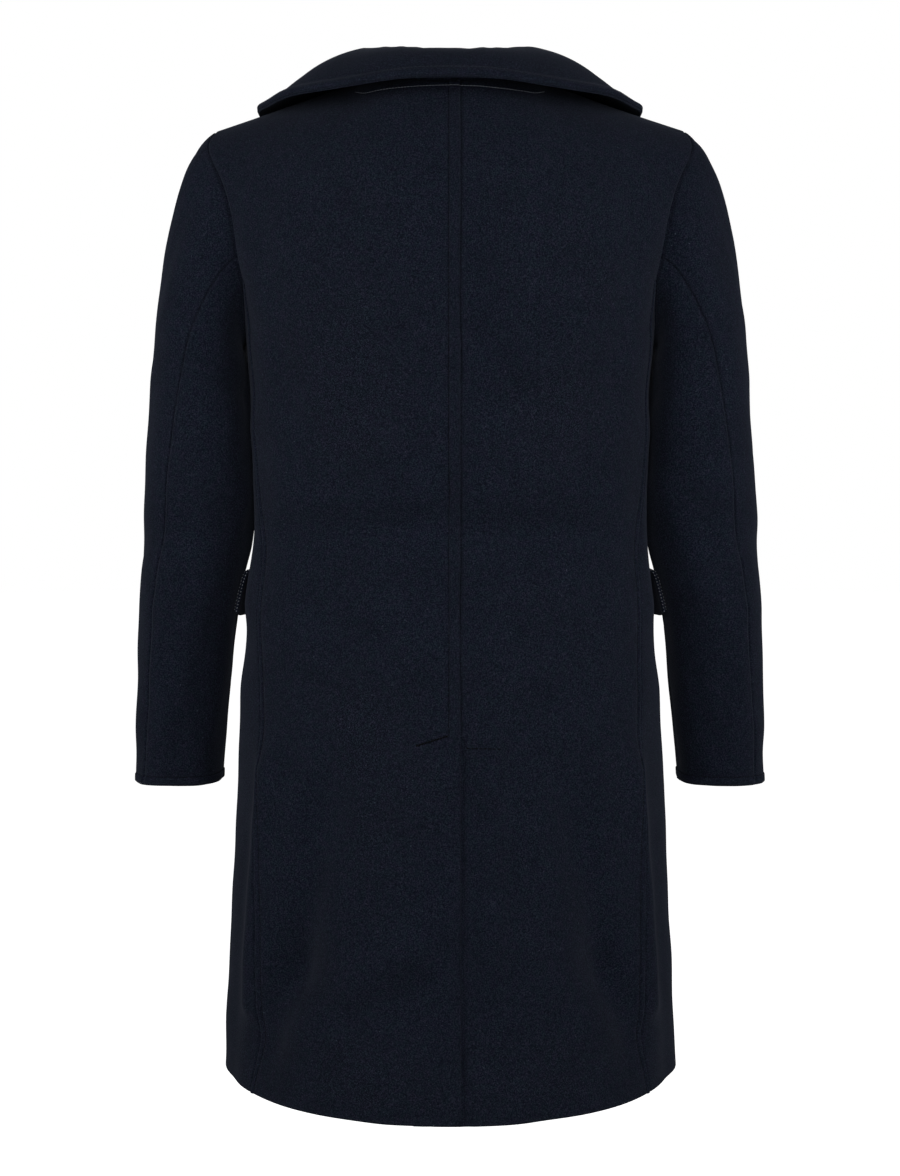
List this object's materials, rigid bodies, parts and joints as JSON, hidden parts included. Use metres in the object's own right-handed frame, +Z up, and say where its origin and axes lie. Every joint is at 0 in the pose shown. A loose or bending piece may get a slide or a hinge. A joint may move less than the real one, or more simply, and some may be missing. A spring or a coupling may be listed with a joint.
{
  "type": "long coat",
  "caption": "Long single-breasted wool overcoat in its worn hollow form, with turned collar, notched lapels, set-in sleeves, pocket flaps and a centre back vent.",
  "frame": {"origin": "middle of the neck opening, at the height of the nape seam", "axes": "+Z up, -Y the way that the coat faces, +X to its wearer's left"},
  "size_m": [0.661, 0.3579, 1.0343],
  "materials": {
    "wool": "felted melton wool with a fine lighter speckle, very dark navy",
    "button": "dark horn-like resin, low sheen"
  },
  "bodies": {
    "root": {"back_left": "wool", "back_right": "wool", "side_left": "wool", "side_right": "wool", "front_left": "wool", "front_right": "wool", "lapel_left": "wool", "lapel_right": "wool", "collar": "wool", "top_sleeve_left": "wool", "top_sleeve_right": "wool", "under_sleeve_left": "wool", "under_sleeve_right": "wool", "pocket_flap_left": "wool", "pocket_flap_right": "wool", "button_top": "button", "button_middle": "button", "button_low": "button"}
  },
  "joints": []
}
